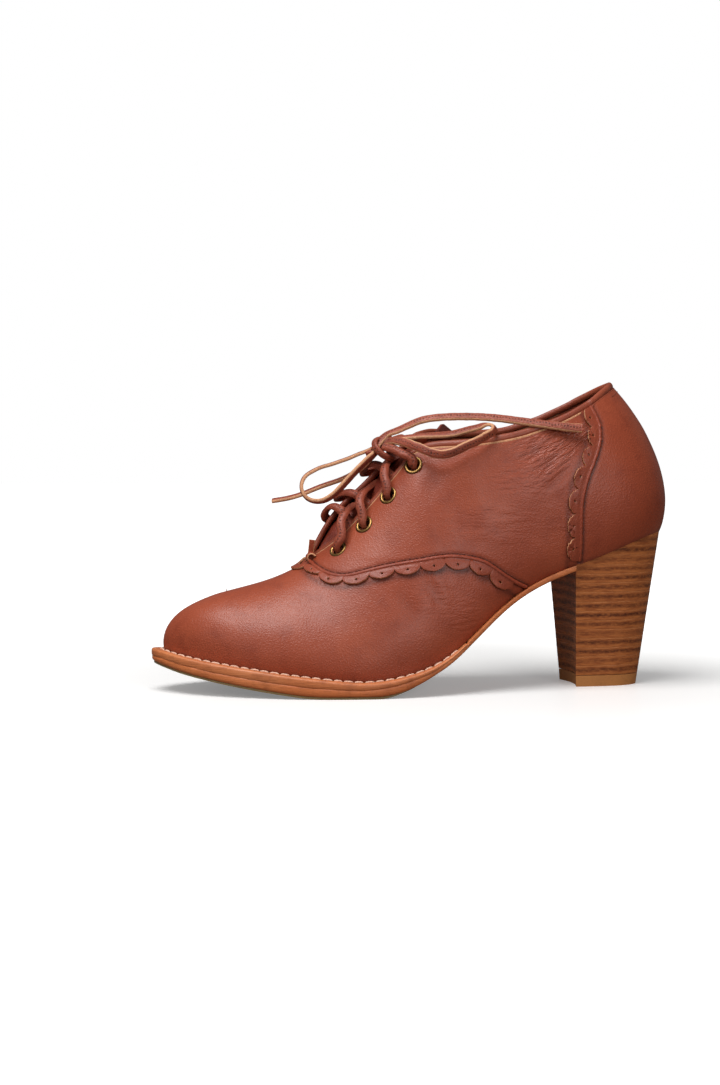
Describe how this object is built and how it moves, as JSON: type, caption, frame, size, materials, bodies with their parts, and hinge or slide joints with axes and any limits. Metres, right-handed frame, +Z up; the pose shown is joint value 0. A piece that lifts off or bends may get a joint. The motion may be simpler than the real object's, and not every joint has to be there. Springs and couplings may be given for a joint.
{
  "type": "heeled oxford shoe",
  "caption": "Women's lace-up oxford shoe with a stacked block heel, almond toe, welted leather sole, scalloped trims and a leather lace tied in a bow.",
  "frame": {"origin": "centre of the shoe's footprint box, on the floor, without the lace's bow", "axes": "-X forwards to the toe, -Y lateral, +Z up"},
  "size_m": [0.2562, 0.0904, 0.1495],
  "materials": {
    "upper_leather": "smooth full-grain cognac leather, soft satin",
    "trim_leather": "the upper's leather with light raw edges",
    "lace_leather": "flat leather thong with light raw edges",
    "welt_leather": "natural tan leather, stitched",
    "sole_leather": "natural tan leather, waxed edge",
    "insole_leather": "smooth lining leather",
    "sole_rubber": "honey rubber, matte",
    "heel_rubber": "honey rubber, matte",
    "heel_stack": "stacked layers, dark and tan bands, waxed",
    "eyelet_brass": "antique brass"
  },
  "bodies": {
    "root": {"outsole": "sole_leather", "forefoot_rubber": "sole_rubber", "welt": "welt_leather", "insole": "insole_leather", "heel_stack": "heel_stack", "heel_tip": "heel_rubber", "upper": "upper_leather", "tongue": "upper_leather", "vamp_scallop_trim": "trim_leather", "counter_scallop_trim_lateral": "trim_leather", "counter_scallop_trim_medial": "trim_leather", "quarter_piping_lateral": "trim_leather", "quarter_piping_medial": "trim_leather", "counter_piping_lateral": "trim_leather", "counter_piping_medial": "trim_leather", "eyelet_lateral_1": "eyelet_brass", "eyelet_lateral_2": "eyelet_brass", "eyelet_lateral_3": "eyelet_brass", "eyelet_lateral_4": "eyelet_brass", "eyelet_medial_1": "eyelet_brass", "eyelet_medial_2": "eyelet_brass", "eyelet_medial_3": "eyelet_brass", "eyelet_medial_4": "eyelet_brass", "lace_crossing_1": "lace_leather", "lace_crossing_2": "lace_leather", "lace_crossing_3": "lace_leather", "lace_knot": "lace_leather", "lace_loop_front": "lace_leather", "lace_loop_rear": "lace_leather", "lace_end_front": "lace_leather", "lace_end_rear": "lace_leather"}
  },
  "joints": []
}
